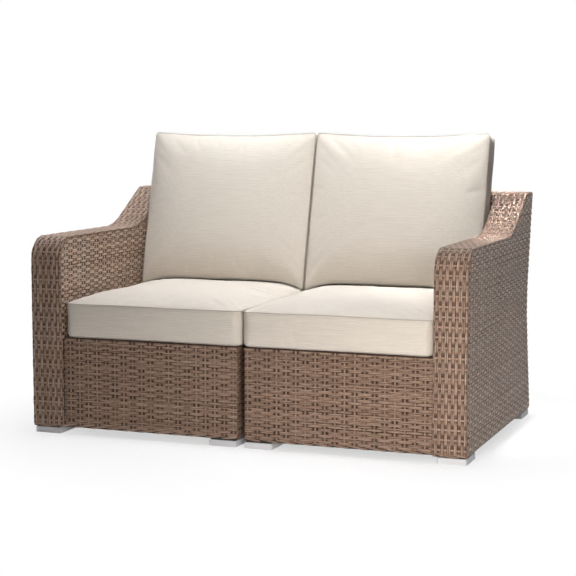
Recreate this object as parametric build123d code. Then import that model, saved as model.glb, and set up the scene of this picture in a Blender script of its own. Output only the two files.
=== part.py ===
"""Patio loveseat: two woven armed modules that stand side by side, with loose cushions.

The right module is built and the left one is its mirror image. While it is built, x runs
from the loveseat's middle to its right end, y from the fronts of the arms to the back and
z from the floor, all in millimetres. Each side view is a list of corners (y, z, rounding),
walked from the front over the top to the back, so that its inside lies on the right.
"""
from build123d import *
from math import atan2, cos, degrees, hypot, radians, sin, sqrt, tan
import os

# Overall sizes
module_width = 720
module_gap = 20
depth = 900
arm_width = 110
arm_height = 645
back_rise = 130
back_top_depth = 96.6
wicker_bottom = 23
seat_height = 317
apron_setback = 15
overrun = 50

# Arm and back, seen from the side
roll_radius = 78
sweep_radius = 223
slope_angle = 31
slope_top_radius = 20
back_top_radius = 18
rear_top_radius = 15
top_seam_lap = 19
waist_setback = 75
waist_height = 395
waist_radius = 480

# Woven skins and the welded frame of square tube
skin = 4
weave_clearance = 0.3
soft_clearance = 0.3
tube = 20
tube_wall = 1.5
seat_rail_count = 6
seat_rail_end_gap = 10
back_rung_count = 4
back_rung_low_offset = 18
back_rung_top_offset = 25
rear_rung_drop = 235
rear_base_lift = 2
arm_front_rung_shares = (0.47, 0.806)
arm_top_rung_shares = (0.273, 0.58, 0.87)
arm_base_rung_shares = (0.278, 0.5, 0.722)
arm_slope_rung_share = 0.55
arm_rear_rung_shares = (0.27, 0.723, 0.89)

# Feet: pads, their plates, and their studs with nuts
pad_width = 92
pad_depth = 108
pad_height = 19
pad_corner = 3
pad_edge = 1.5
pad_side_inset = 4
pad_front_inset = 12
plate_margin = 4
stud_radius = 4
stud_clearance = 0.3
nut_across_flats = 13
nut_height = 6.5

# Seat cushion
seat_middle_gap = 12
seat_arm_gap = 7
seat_rear_gap = 3
seat_boxing = 111
seat_crown = 30
seat_corner = 26
seat_draw = 4
seat_low_edge = 14

# Back cushion
pillow_middle_gap = 10
pillow_arm_gap = 6
pillow_height = 532
pillow_boxing = 75
pillow_front_crown = 42
pillow_rear_crown = 62
pillow_lean = 14.5
pillow_foot_depth = 150.9
pillow_corner = 9
pillow_draw = 7

# Covers and cores
cover_thickness = 1.5
core_clearance = 0.4

# Crown of a cushion: how far its outline has shrunk towards the middle, and its rise
seat_crown_shares = ((0.012, 0.24), (0.04, 0.45), (0.115, 0.64), (0.32, 0.87), (0.6, 1.0))
pillow_crown_shares = ((0.03, 0.3), (0.09, 0.52), (0.22, 0.75), (0.45, 0.93), (0.72, 1.0))
low_edge_shares = ((0.75, 0.0), (0.25, 0.3), (0.0, 1.0))
corner_stretches = 3
side_stretches = 4
right_angle = 90

# Places that follow from those sizes
bay_x = module_gap / 2
outer_x = bay_x + module_width
arm_x = outer_x - arm_width
frame_inset = skin + weave_clearance
frame_back = frame_inset + tube
outline_floor = wicker_bottom - frame_inset
back_height = arm_height + back_rise
slope_top_y = depth - back_top_depth
sweep_corner_y = slope_top_y - back_rise / tan(radians(slope_angle))
top_seam_y = slope_top_y + top_seam_lap
waist_y = depth - waist_setback
upper_run = (depth - waist_y) / (back_height - waist_height)
lower_run = (depth - waist_y) / (waist_height - wicker_bottom)
upper_lean = degrees(atan2(upper_run, 1))
lower_lean = degrees(atan2(lower_run, 1))
deck_top = seat_height - soft_clearance
deck_bottom = deck_top - skin
seat_rail_top = deck_bottom - weave_clearance
inner_tube_x = bay_x + skin
arm_tube_x = arm_x + skin
outer_tube_x = outer_x - skin - tube
front_rail_y = apron_setback + frame_inset


def back_front_y(z):
    """Depth of the back's sloping front face at a height."""
    return slope_top_y - (back_height - z) * upper_run


def rear_y(z):
    """Depth of the rear face at a height, on the straight run above or below the waist."""
    if z > waist_height:
        return waist_y + (z - waist_height) * upper_run
    return waist_y + (waist_height - z) * lower_run


# Cushion sizes that follow from the seat bay
seat_width = arm_x - seat_arm_gap - seat_middle_gap / 2
seat_cushion_depth = back_front_y(seat_height) - seat_rear_gap - apron_setback
pillow_width = arm_x - pillow_arm_gap - pillow_middle_gap / 2
pillow_rest_z = seat_height + seat_boxing + seat_crown + soft_clearance
pillow_front_y = back_front_y(pillow_rest_z) - pillow_foot_depth

# Side views, as lists of corners
rear_corners = [
    (depth, back_height, rear_top_radius),
    (waist_y, waist_height, waist_radius),
    (rear_y(outline_floor), outline_floor, 0),
]
arm_front_corners = [
    (0, outline_floor, 0),
    (0, arm_height, roll_radius),
    (sweep_corner_y, arm_height, sweep_radius),
    (slope_top_y, back_height, slope_top_radius),
]
back_front_corners = [
    (back_front_y(deck_top), deck_top, 0),
    (slope_top_y, back_height, back_top_radius),
]
bay_front_corners = [
    (apron_setback, outline_floor, 0),
    (apron_setback, deck_top, 0),
]
top_seam = (top_seam_y, back_height, 0)


def direction(start, end):
    """Unit vector from one corner to the next, in y and z."""
    run, rise = end[0] - start[0], end[1] - start[1]
    length = hypot(run, rise)
    return run / length, rise / length


def inset_corners(corners, inset, closed):
    """Move a path of corners to its right by an inset, with each rounding kept parallel."""
    count = len(corners)
    moved = []
    for index, (y, z, radius) in enumerate(corners):
        before = direction(corners[index - 1], corners[index]) if closed or index else None
        last = index == count - 1 and not closed
        after = None if last else direction(corners[index], corners[(index + 1) % count])
        before, after = before or after, after or before
        facing = 1 + before[0] * after[0] + before[1] * after[1]
        side_y = (before[1] + after[1]) * inset / facing
        side_z = -(before[0] + after[0]) * inset / facing
        turn = before[0] * after[1] - before[1] * after[0]
        parallel = radius - inset if turn < 0 else radius + inset
        moved.append((y + side_y, z + side_z, max(parallel, 0) if radius else 0))
    return moved


def rounded_edges(corners, closed):
    """Lines and tangent arcs through a path of corners, in the plane x = 0."""
    count = len(corners)
    stretches = []
    arcs = []
    for index, (y, z, radius) in enumerate(corners):
        corner = Vector(0, y, z)
        if not radius or (not closed and index in (0, count - 1)):
            stretches.append((corner, corner))
            arcs.append(None)
            continue
        before = Vector(0, *direction(corners[index - 1], corners[index]))
        after = Vector(0, *direction(corners[index], corners[(index + 1) % count]))
        half_turn = radians(before.get_angle(after)) / 2
        reach = radius * tan(half_turn)
        start, end = corner - before * reach, corner + after * reach
        middle = corner + (after - before).normalized() * (radius / cos(half_turn) - radius)
        stretches.append((start, end))
        arcs.append(ThreePointArc(start, middle, end))
    edges = []
    for index in range(count):
        if arcs[index]:
            edges.append(arcs[index])
        if index < count - 1 or closed:
            edges.append(Line(stretches[index][1], stretches[(index + 1) % count][0]))
    return edges


def region(corners, inset=0):
    """Face inside a closed side view, set in from its edge."""
    return make_face(rounded_edges(inset_corners(corners, inset, True), True))


def strip(corners, near, far):
    """Face between two parallels of an open path."""
    near_corners = inset_corners(corners, near, False)
    far_corners = inset_corners(corners, far, False)
    ends = [
        Line(Vector(0, *near_corners[index][:2]), Vector(0, *far_corners[index][:2]))
        for index in (0, -1)
    ]
    return make_face(rounded_edges(near_corners, False) + rounded_edges(far_corners, False) + ends)


def across(face, x_from, x_to):
    """Solid of a side view between two planes of constant x."""
    return extrude(Pos(x_from, 0, 0) * face, amount=x_to - x_from, dir=(1, 0, 0))


def block(x_from, x_to, y_from, y_to, z_from, z_to):
    """Box between its limits."""
    low_corner = (Align.MIN, Align.MIN, Align.MIN)
    return Pos(x_from, y_from, z_from) * Box(
        x_to - x_from, y_to - y_from, z_to - z_from, align=low_corner
    )


def bent_tube(corners, near, x_from):
    """Square tube that follows a path in a side view."""
    outside = across(strip(corners, near, near + tube), x_from, x_from + tube)
    bore_face = strip(corners, near + tube_wall, near + tube - tube_wall)
    return outside - across(bore_face, x_from + tube_wall, x_from + tube - tube_wall)


def rail_along_y(x_from, y_from, y_to, z_from):
    """Square tube that runs from front to back."""
    outside = block(x_from, x_from + tube, y_from, y_to, z_from, z_from + tube)
    bore = block(
        x_from + tube_wall, x_from + tube - tube_wall, y_from, y_to,
        z_from + tube_wall, z_from + tube - tube_wall,
    )
    return outside - bore


def rail_across(x_from, x_to, place):
    """Square tube that runs from side to side, centred on a place (y, z, tilt)."""
    y, z, tilt = place
    middle = (Align.MIN, Align.CENTER, Align.CENTER)
    bore_size = tube - 2 * tube_wall
    outside = Box(x_to - x_from, tube, tube, align=middle)
    bore = Box(x_to - x_from, bore_size, bore_size, align=middle)
    return Pos(x_from, y, z) * Rot(tilt, 0, 0) * (outside - bore)


# Side views that the pieces share
rear_path = [top_seam] + rear_corners
arm_path = arm_front_corners + [top_seam]
back_front_path = back_front_corners + [top_seam]
arm_outline = arm_front_corners + rear_corners
bay_outline = bay_front_corners + back_front_corners + rear_corners
above_hem = block(0, outer_x, -overrun, depth + overrun, wicker_bottom, back_height + overrun)
ahead_of_rear_legs = across(
    region(
        [(-overrun, -overrun, 0), (-overrun, back_height + overrun, 0)]
        + [(rear_y(back_height + overrun), back_height + overrun, 0)]
        + [(waist_y, waist_height, waist_radius), (rear_y(-overrun), -overrun, 0)],
        frame_back,
    ),
    0,
    outer_x,
)


def behind_back_front(inset, x_from, x_to):
    """Everything behind a plane that lies an inset behind the back's front face."""
    high = 2 * back_height
    corners = [(back_front_y(0), 0, 0), (back_front_y(high), high, 0)]
    corners += [(2 * depth, high, 0), (2 * depth, 0, 0)]
    plane_shift = inset / cos(radians(upper_lean))
    return Pos(0, plane_shift, 0) * across(region(corners), x_from, x_to)


def rear_place(z):
    """Place of a cross rail in the plane of the rear legs, at a height."""
    lean = -upper_lean if z > waist_height else lower_lean
    return rear_y(z) - (frame_inset + tube / 2) / cos(radians(lean)), z, lean


def frame_rails():
    """Straight tubes of the base and the seat."""
    base_z, seat_z = wicker_bottom, seat_rail_top - tube
    bay_from, bay_to = inner_tube_x + tube, arm_tube_x
    behind_leg, behind_hoop = front_rail_y + tube, frame_back
    front_y = front_rail_y + tube / 2
    last_y = back_front_y(seat_rail_top) - seat_rail_end_gap - tube / 2
    pitch = (last_y - front_y) / (seat_rail_count - 1)
    seat_rails = [
        rail_across(bay_from, bay_to, (front_y + step * pitch, seat_z + tube / 2, 0))
        for step in range(seat_rail_count)
    ]
    base_rear = rear_place(base_z + rear_base_lift + tube / 2)
    front_leg = block(
        inner_tube_x, bay_from, front_rail_y, behind_leg, wicker_bottom, seat_rail_top
    ) - block(
        inner_tube_x + tube_wall, bay_from - tube_wall, front_rail_y + tube_wall,
        behind_leg - tube_wall, wicker_bottom, seat_rail_top,
    )

    def to_rear_leg(x_from, y_from, z_from):
        return rail_along_y(x_from, y_from, depth, z_from) & ahead_of_rear_legs

    return {
        "base_front_rail": rail_across(bay_from, bay_to, (front_y, base_z + tube / 2, 0)),
        "base_rear_rail": rail_across(bay_from, bay_to, base_rear),
        "base_inner_rail": to_rear_leg(inner_tube_x, behind_leg, base_z),
        "arm_base_rails": group(
            to_rear_leg(arm_tube_x, behind_hoop, base_z),
            to_rear_leg(outer_tube_x, behind_hoop, base_z),
        ),
        "seat_cross_rails": group(*seat_rails),
        "seat_inner_rail": to_rear_leg(inner_tube_x, behind_leg, seat_z),
        "seat_outer_rail": to_rear_leg(arm_tube_x, behind_hoop, seat_z),
        "front_leg": front_leg,
    }


def bent_posts():
    """Tubes bent to the side view: the arm hoops, the rear legs and the back's uprights."""
    hoops = [bent_tube(arm_path, frame_inset, x) & above_hem for x in (arm_tube_x, outer_tube_x)]
    rear_legs = [
        bent_tube(rear_path, frame_inset, x) & above_hem
        for x in (inner_tube_x, arm_tube_x, outer_tube_x)
    ]
    above_seat_rail = block(
        0, outer_x, -overrun, depth + overrun, seat_rail_top, back_height + overrun
    )
    low_front = [(back_front_y(0), 0, 0)] + back_front_path[1:]
    straight_front = [(back_front_y(0), 0, 0), (back_front_y(depth), depth, 0)]
    inside_hoop = across(region(arm_outline, frame_back), arm_tube_x, arm_tube_x + tube)
    bay_upright = bent_tube(low_front, frame_inset, inner_tube_x) & above_seat_rail
    arm_upright = bent_tube(straight_front, frame_inset, arm_tube_x) & above_seat_rail
    return {
        "arm_hoops": group(*hoops),
        "rear_leg": rear_legs[0],
        "rear_arm_legs": group(*rear_legs[1:]),
        "back_inner_upright": bay_upright,
        "back_arm_upright": arm_upright & inside_hoop,
    }


def back_rails():
    """Rungs behind the back's front weave, and the rails in the plane of the rear legs."""
    reach = (frame_inset + tube / 2) / cos(radians(upper_lean))
    low_z = seat_rail_top + back_rung_low_offset
    top_z = back_height - back_rung_top_offset
    step = (top_z - low_z) / (back_rung_count - 1)
    heights = [low_z + index * step for index in range(back_rung_count)]
    places = [(back_front_y(z) + reach, z, -upper_lean) for z in heights]
    places.append(rear_place(back_height - rear_rung_drop))
    top_centre = back_height - frame_inset - tube / 2
    rear_clear = rear_top_radius / cos(radians(upper_lean))
    top_y = rear_y(back_height - rear_top_radius) - rear_clear - tube / 2
    places.append((top_y, top_centre, 0))
    return group(*(rail_across(inner_tube_x + tube, arm_tube_x, place) for place in places))


def arm_rungs():
    """Short tubes that join the two hoops of an arm."""
    centre = frame_inset + tube / 2
    slope_y = sweep_corner_y + (slope_top_y - sweep_corner_y) * arm_slope_rung_share
    slope_z = arm_height + back_rise * arm_slope_rung_share
    top_z, base_z = arm_height - centre, wicker_bottom + tube / 2
    places = [(centre, arm_height * share, 0) for share in arm_front_rung_shares]
    places += [(sweep_corner_y * share, top_z, 0) for share in arm_top_rung_shares]
    places += [(depth * share, base_z, 0) for share in arm_base_rung_shares]
    places += [rear_place(back_height * share) for share in arm_rear_rung_shares]
    places.append((slope_y, slope_z - centre / cos(radians(slope_angle)), slope_angle))
    return group(*(rail_across(arm_tube_x + tube, outer_tube_x, place) for place in places))


def woven_skins():
    """Sheets of weave: arm band and sides, apron, inner side, back and seat deck."""
    arm_side = region(arm_outline, frame_inset)
    below_deck = block(
        0, outer_x, apron_setback + skin, depth + overrun, -overrun, deck_bottom
    )
    arm_inner = across(arm_side, arm_x, arm_x + skin) - below_deck
    above_deck_bottom = block(
        0, outer_x, -overrun, depth + overrun, deck_bottom, back_height + overrun
    )
    low_front = [(back_front_y(0), 0, 0)] + back_front_path[1:]
    deck_rear_y = back_front_y(deck_bottom) - weave_clearance
    return {
        "arm_band_weave": across(strip(arm_path, 0, skin), arm_x, outer_x) & above_hem,
        "arm_outer_weave": across(arm_side, outer_x - skin, outer_x),
        "arm_inner_weave": arm_inner - behind_back_front(skin, arm_x, arm_x + skin),
        "apron_weave": block(
            bay_x, arm_x, apron_setback, apron_setback + skin, wicker_bottom, deck_top
        ),
        "inner_side_weave": across(region(bay_outline, frame_inset), bay_x, bay_x + skin),
        "back_front_weave": across(strip(low_front, 0, skin), bay_x, arm_x) & above_deck_bottom,
        "back_rear_weave": across(strip(rear_path, 0, skin), bay_x, outer_x) & above_hem,
        "seat_deck_weave": block(
            bay_x, arm_x, apron_setback + skin, deck_rear_y, deck_bottom, deck_top
        ),
    }


def feet():
    """Four pads of a module, with the plates above them and the studs and nuts that hold both."""
    upright = (Align.CENTER, Align.CENTER, Align.MIN)
    pad = Box(pad_width, pad_depth, pad_height, align=upright)
    pad = chamfer(pad.edges().filter_by(Axis.Z), pad_corner)
    pad = chamfer(pad.faces().sort_by(Axis.Z)[-1].edges(), pad_edge)
    plate_height = wicker_bottom - pad_height
    plate = Box(
        pad_width - 2 * plate_margin, pad_depth - 2 * plate_margin, plate_height, align=upright
    )
    plate -= Cylinder(stud_radius + stud_clearance, plate_height, align=upright)
    plate = Pos(0, 0, pad_height) * plate
    stud = Pos(0, 0, pad_height) * Cylinder(stud_radius, plate_height, align=upright)
    nut_outline = RegularPolygon(nut_across_flats / 2, 6, major_radius=False)
    stud += Pos(0, 0, wicker_bottom) * extrude(nut_outline, nut_height)
    side = pad_side_inset + pad_width / 2
    end = pad_front_inset + pad_depth / 2
    places = [
        Pos(x, y, 0) for x in (bay_x + side, outer_x - side) for y in (end, depth - end)
    ]
    return {
        "foot_pads": group(*(place * pad for place in places)),
        "foot_plates": group(*(place * plate for place in places)),
        "foot_studs": group(*(place * stud for place in places)),
    }


def cushion_outline(half_width, half_height, corner, draw):
    """Points round a cushion's seam: rounded corners, and sides drawn in between them."""
    flat_width, flat_height = half_width - corner, half_height - corner
    turns = ((1, 1, 0), (-1, 1, 90), (-1, -1, 180), (1, -1, 270))
    points = []
    for index, (side_x, side_y, start) in enumerate(turns):
        centre = Vector(side_x * flat_width, side_y * flat_height, 0)
        for step in range(corner_stretches + 1):
            angle = radians(start + step * right_angle / corner_stretches)
            points.append(centre + Vector(cos(angle), sin(angle), 0) * corner)
        next_x, next_y, turned = turns[(index + 1) % len(turns)]
        outward = Vector(cos(radians(turned)), sin(radians(turned)), 0)
        following = Vector(next_x * flat_width, next_y * flat_height, 0) + outward * corner
        leaving = points[-1]
        for step in range(1, side_stretches):
            share = step / side_stretches
            bow = draw * 4 * share * (1 - share)
            points.append(leaving + (following - leaving) * share - outward * bow)
    return points


def stacked(levels, outline):
    """Soft solid through a stack of levels (height, scale of the outline), in flat facets."""
    rings = [
        [Vector(point.X * scale, point.Y * scale, height) for point in outline]
        for height, scale in levels
    ]
    faces = [rings[0], rings[-1]]
    for lower, upper in zip(rings, rings[1:]):
        for index in range(len(outline)):
            faces.append([lower[index - 1], lower[index], upper[index], upper[index - 1]])
    return Solid(Shell([make_face(Polyline(*corners, close=True)) for corners in faces]))


def seat_form(shrink):
    """Seat cushion: soft low edge, upright boxing and a crowned top, shrunk all round."""
    half_width, half_depth = seat_width / 2, seat_cushion_depth / 2
    levels = [
        (shrink + seat_low_edge * rise, 1 - inset * seat_low_edge / half_width)
        for inset, rise in low_edge_shares
    ]
    levels.append((seat_boxing, 1))
    levels += [
        (seat_boxing + (seat_crown - shrink) * rise, 1 - inset)
        for inset, rise in seat_crown_shares
    ]
    outline = cushion_outline(half_width - shrink, half_depth - shrink, seat_corner, seat_draw)
    centre_x = seat_middle_gap / 2 + half_width
    return Pos(centre_x, apron_setback + half_depth, seat_height) * stacked(levels, outline)


def pillow_form(shrink):
    """Back cushion: boxed, crowned on both faces, flat where it rests on seat and back."""
    half_width, half_height = pillow_width / 2, pillow_height / 2
    front = [
        ((pillow_front_crown - shrink) * rise, 1 - inset)
        for inset, rise in pillow_crown_shares
    ]
    rear = [
        (-pillow_boxing - (pillow_rear_crown - shrink) * rise, 1 - inset)
        for inset, rise in reversed(pillow_crown_shares)
    ]
    levels = rear + [(-pillow_boxing, 1), (0, 1)] + front
    outline = cushion_outline(
        half_width - shrink, half_height - shrink, pillow_corner, pillow_draw
    )
    lean = radians(pillow_lean)
    face = Plane(
        origin=(pillow_middle_gap / 2 + half_width, pillow_front_y, pillow_rest_z),
        x_dir=(1, 0, 0),
        z_dir=(0, -cos(lean), sin(lean)),
    )
    form = face * Pos(0, half_height, 0) * stacked(levels, outline)
    above_seat = block(
        0, outer_x, -depth, 2 * depth, pillow_rest_z + shrink, 2 * (depth + back_height)
    )
    return (form & above_seat) - behind_back_front(-soft_clearance - shrink, 0, outer_x)


def cushions():
    """Covers and cores of the seat cushion and the back cushion."""
    core = cover_thickness + core_clearance
    return {
        "seat_cover": seat_form(0) - seat_form(cover_thickness),
        "seat_foam": seat_form(core),
        "pillow_cover": pillow_form(0) - pillow_form(cover_thickness),
        "pillow_fill": pillow_form(core),
    }


def group(*solids):
    """Several solids under one name."""
    return Compound([solid for shape in solids for solid in shape.solids()])


def module_pieces():
    """Every piece of the right module by name."""
    pieces = frame_rails() | bent_posts() | woven_skins() | feet() | cushions()
    pieces["back_rails"] = back_rails()
    pieces["arm_rungs"] = arm_rungs()
    return pieces


os.makedirs("parts", exist_ok=True)
to_part_frame = Pos(0, -depth / 2, 0)
for piece_name, piece in module_pieces().items():
    right = to_part_frame * group(piece)
    export_step(right, f"parts/right_{piece_name}.step")
    export_step(mirror(right, about=Plane.YZ), f"parts/left_{piece_name}.step")
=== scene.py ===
"""Patio loveseat: the look of its woven modules, cushions and feet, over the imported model.

Lengths are millimetres until a mesh is made from them in metres, with x across, y from front
to back and z up. The pieces of the right module are worked out, and the left ones are their
mirror image with other chance values, so that no two strands match.
"""
from math import pi, radians

import bpy
import numpy as np
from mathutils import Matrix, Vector


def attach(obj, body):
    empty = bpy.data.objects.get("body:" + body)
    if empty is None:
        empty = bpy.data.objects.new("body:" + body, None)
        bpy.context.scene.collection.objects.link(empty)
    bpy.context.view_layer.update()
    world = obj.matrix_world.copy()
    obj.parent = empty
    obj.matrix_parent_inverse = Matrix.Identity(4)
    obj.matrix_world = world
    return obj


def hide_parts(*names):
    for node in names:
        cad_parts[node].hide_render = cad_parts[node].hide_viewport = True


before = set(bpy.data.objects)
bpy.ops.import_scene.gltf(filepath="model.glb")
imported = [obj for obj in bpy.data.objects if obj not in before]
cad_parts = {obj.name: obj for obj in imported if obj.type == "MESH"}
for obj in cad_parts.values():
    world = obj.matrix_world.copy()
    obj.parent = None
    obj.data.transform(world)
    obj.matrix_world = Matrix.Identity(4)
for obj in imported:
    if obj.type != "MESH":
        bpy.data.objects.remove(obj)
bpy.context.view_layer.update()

# Camera: place in metres, its turn in degrees and its lens in millimetres
camera_place = (1.8289, -4.8781, 1.0304)
camera_pitch = 6.27
camera_yaw = 20.60
camera_lens = 97.55
camera_sensor = 36

# Module, seen from the front
bay_x = 10
outer_x = 730
arm_x = 620

# Module, seen from the side: y from -450 at the arm fronts to 450 at the rear
front_y = -450
rear_y = 450
apron_y = -435
hem_z = 23
deck_z = 316.7
arm_z = 645
back_z = 775
roll_radius = 78
sweep_corner_y = 137.04
sweep_radius = 223
slope_top_y = 353.4
slope_top_radius = 20
back_top_radius = 18
rear_top_radius = 15
top_seam_y = 372.4
waist_y = 375
waist_z = 395
waist_radius = 480
back_lean = 75 / 380

arm_corners = [
    (front_y, hem_z, 0),
    (front_y, arm_z, roll_radius),
    (sweep_corner_y, arm_z, sweep_radius),
    (slope_top_y, back_z, slope_top_radius),
    (top_seam_y, back_z, 0),
]
rear_corners = [
    (top_seam_y, back_z, 0),
    (rear_y, back_z, rear_top_radius),
    (waist_y, waist_z, waist_radius),
    (rear_y, hem_z, 0),
]
back_foot_y = slope_top_y - (back_z - deck_z) * back_lean
back_corners = [
    (back_foot_y, deck_z, 0),
    (slope_top_y, back_z, back_top_radius),
    (top_seam_y, back_z, 0),
]
apron_corners = [(apron_y, hem_z, 0), (apron_y, deck_z, 0)]
deck_corners = [(apron_y + 4, deck_z, 0), (back_foot_y, deck_z, 0)]

# Weave: the middle of its skin lies this far inside, and a skin's edge wraps this far round
skin_middle = 2.2
wrap = 15
edge_radius = 5
# A sheet of painted shade lies this deep behind the strands, in steps of these sizes
shade_sheet_depth = 2.7
shade_sheet_steps = (12, 9)
strand_thickness = 1.8
# Spacing of wefts and of stakes: two wefts pass together, so that pairs lie 10 mm apart
side_pitch = (5.1, 31.8)
bay_pitch = (4.9, 31.8)
rear_pitch = (5.0, 31.8)
band_pitch = (5.1, 30.7)
deck_pitch = (9, 34)
# Chance in a strand's place: a weft's shift and how far it wanders, in waves whose length is
# 2 pi times these, and a stake's shift
weft_shift = 0.35
weft_wander = 0.5
wander_lengths = (90, 160)
stake_shift = 0.4
# A stake ends this far inside the weave's edge, and a strand's grid has no shorter step
stake_clearance = 3
least_step = 0.05
# How much strands differ in tone, and how much painted shade darkens their edges, as shares of the
# whole ramp
shade_spread = 0.16
edge_shadow = 0.3

# Hem: how far in and up its strands lie, their radius, the length of a turn, and the step
# between the points that are kept
hem_inset = 6.8
hem_lift = 5
hem_strand_radius = 3.3
hem_twist = 116
hem_step = 4

# Points in an arc of a path, and sides of a round cord
arc_points = 40
cord_sides = 8

# Seat cushion: half sizes, boxing and crown, the radius of its piping, the most that its cloth
# moves, the ripple of its seams, and the counts of its lattice
seat_half = (306, 347.5)
seat_middle = (309.5, -87.5)
seat_rest_z = 317
seat_boxing = 111
seat_crown = 30
seat_crown_power = 4
seat_corner = 26
seat_draw = (1, 4)
seat_low_radius = 14
seat_welt_radius = 1.7
seat_swell = 5
seat_ripple = 0.5
seat_counts = (76, 87, 14)

# Back cushion: the same, and where it stands, its gap to the seat cushion and to the back,
# how far its low edge sinks, and how high it leans on the back
pillow_half = (306, 266)
pillow_middle_x = 309.5
pillow_boxing = 75
pillow_crowns = (42, 62)
pillow_crown_power = 2.6
pillow_lean = 14.5
pillow_front_y = 140
pillow_rest_z = 458.3
pillow_corner = 9
pillow_draw = (1, 12)
pillow_gap = 5.5
pillow_back_gap = 0.5
pillow_sag = 22
pillow_lean_top = back_z + 20
pillow_welt_radius = 1.2
pillow_swell = 9
pillow_ripple = 0.6
pillow_counts = (76, 66, 10)
# Least distance of a cushion's cloth from the plane between the modules
cushion_clearance = 3.5
# A lattice point lies on a face of its cushion from here on
face_from = 0.999

# Cloth simulation: frames, pressure and how much larger than its form a cover is cut
cloth_frames = 20
cloth_pressure = 3
cloth_excess = 0.004


# Materials

def linear(hex_code):
    """Linear colour of an sRGB hex code: ((c + 0.055) / 1.055) to the power 2.4 above 0.04."""
    channels = np.array([int(hex_code[i:i + 2], 16) for i in (0, 2, 4)]) / 255
    bright = ((channels + 0.055) / 1.055) ** 2.4
    return (*np.where(channels > 0.04045, bright, channels / 12.92), 1.0)


def add(tree, kind, inputs=None, **settings):
    """Add a node with its settings and its inputs, each a value or another node's output."""
    node = tree.nodes.new(kind)
    for name, value in settings.items():
        setattr(node, name, value)
    for name, value in (inputs or {}).items():
        if isinstance(value, bpy.types.NodeSocket):
            tree.links.new(value, node.inputs[name])
        else:
            node.inputs[name].default_value = value
    return node


def start_material(name):
    """Empty material and its node tree."""
    material = bpy.data.materials.new(name)
    material.use_nodes = True
    material.node_tree.nodes.clear()
    return material, material.node_tree


def shade_with(tree, inputs):
    """End a material in a Principled BSDF with these inputs."""
    shader = add(tree, "ShaderNodeBsdfPrincipled", inputs)
    add(tree, "ShaderNodeOutputMaterial", {"Surface": shader.outputs[0]})


def ramp(tree, factor, stops):
    """Colour ramp over a factor through (place, hex code) stops."""
    node = add(tree, "ShaderNodeValToRGB", {"Fac": factor})
    while len(node.color_ramp.elements) < len(stops):
        node.color_ramp.elements.new(0.5)
    for element, (place, hex_code) in zip(node.color_ramp.elements, stops):
        element.position = place
        element.color = linear(hex_code)
    return node.outputs["Color"]


def rattan():
    """Extruded polyethylene rattan: flat ribbed strand in mottled taupe, with a waxy gleam."""
    material, tree = start_material("polyethylene_rattan")
    uv = add(tree, "ShaderNodeSeparateXYZ", {0: add(tree, "ShaderNodeUVMap").outputs[0]})
    along, over = uv.outputs["X"], uv.outputs["Y"]
    # The shade attribute holds each strand's own tone together with the painted highlights and
    # painted shade put in by ribbons
    shade = add(tree, "ShaderNodeAttribute", attribute_name="shade").outputs["Fac"]
    offset = add(tree, "ShaderNodeMath", {0: shade, 1: 50.0}, operation="MULTIPLY").outputs[0]
    # Streaks drawn out along the strand: about 9 mm long and 2 mm wide
    long_way = add(tree, "ShaderNodeMath", {0: along, 1: 110.0}, operation="MULTIPLY").outputs[0]
    short_way = add(tree, "ShaderNodeMath", {0: over, 1: 500.0}, operation="MULTIPLY").outputs[0]
    place = add(tree, "ShaderNodeCombineXYZ", {"X": long_way, "Y": short_way, "Z": offset})
    streak = add(tree, "ShaderNodeTexNoise", {
        "Vector": place.outputs[0], "Scale": 1.0, "Detail": 3.0, "Roughness": 0.7,
    }).outputs["Fac"]
    tone = add(tree, "ShaderNodeMix", {"Factor": 0.45, "A": shade, "B": streak}).outputs["Result"]
    colour = ramp(tree, tone, (
        (0.24, "33221A"), (0.38, "694F3F"), (0.5, "977C69"), (0.62, "BAA18E"), (0.76, "DECAB8"),
    ))
    # Ribs of the extruder's die, 2.2 mm apart across the strand
    turns = add(tree, "ShaderNodeMath", {0: over, 1: 2 * pi / 0.0022}, operation="MULTIPLY")
    ribs = add(tree, "ShaderNodeMath", {0: turns.outputs[0]}, operation="COSINE").outputs[0]
    bump = add(tree, "ShaderNodeBump", {"Height": ribs, "Strength": 0.6, "Distance": 0.0003})
    shade_with(tree, {
        "Base Color": colour, "Roughness": 0.45, "IOR": 1.4, "Normal": bump.outputs[0],
    })
    return material


def shade_sheet():
    """Painted shade for the inside of the weave: a nearly black brown sheet with a coarse grain.
    """
    material, tree = start_material("shadowed_inner_weave")
    place = add(tree, "ShaderNodeTexCoord").outputs["Object"]
    # Grain as coarse as a strand, about 8 mm
    grain = add(tree, "ShaderNodeTexNoise", {"Vector": place, "Scale": 120.0}).outputs["Fac"]
    colour = ramp(tree, grain, ((0.3, "24160E"), (0.7, "432C20")))
    shade_with(tree, {"Base Color": colour, "Roughness": 0.8})
    return material


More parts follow.
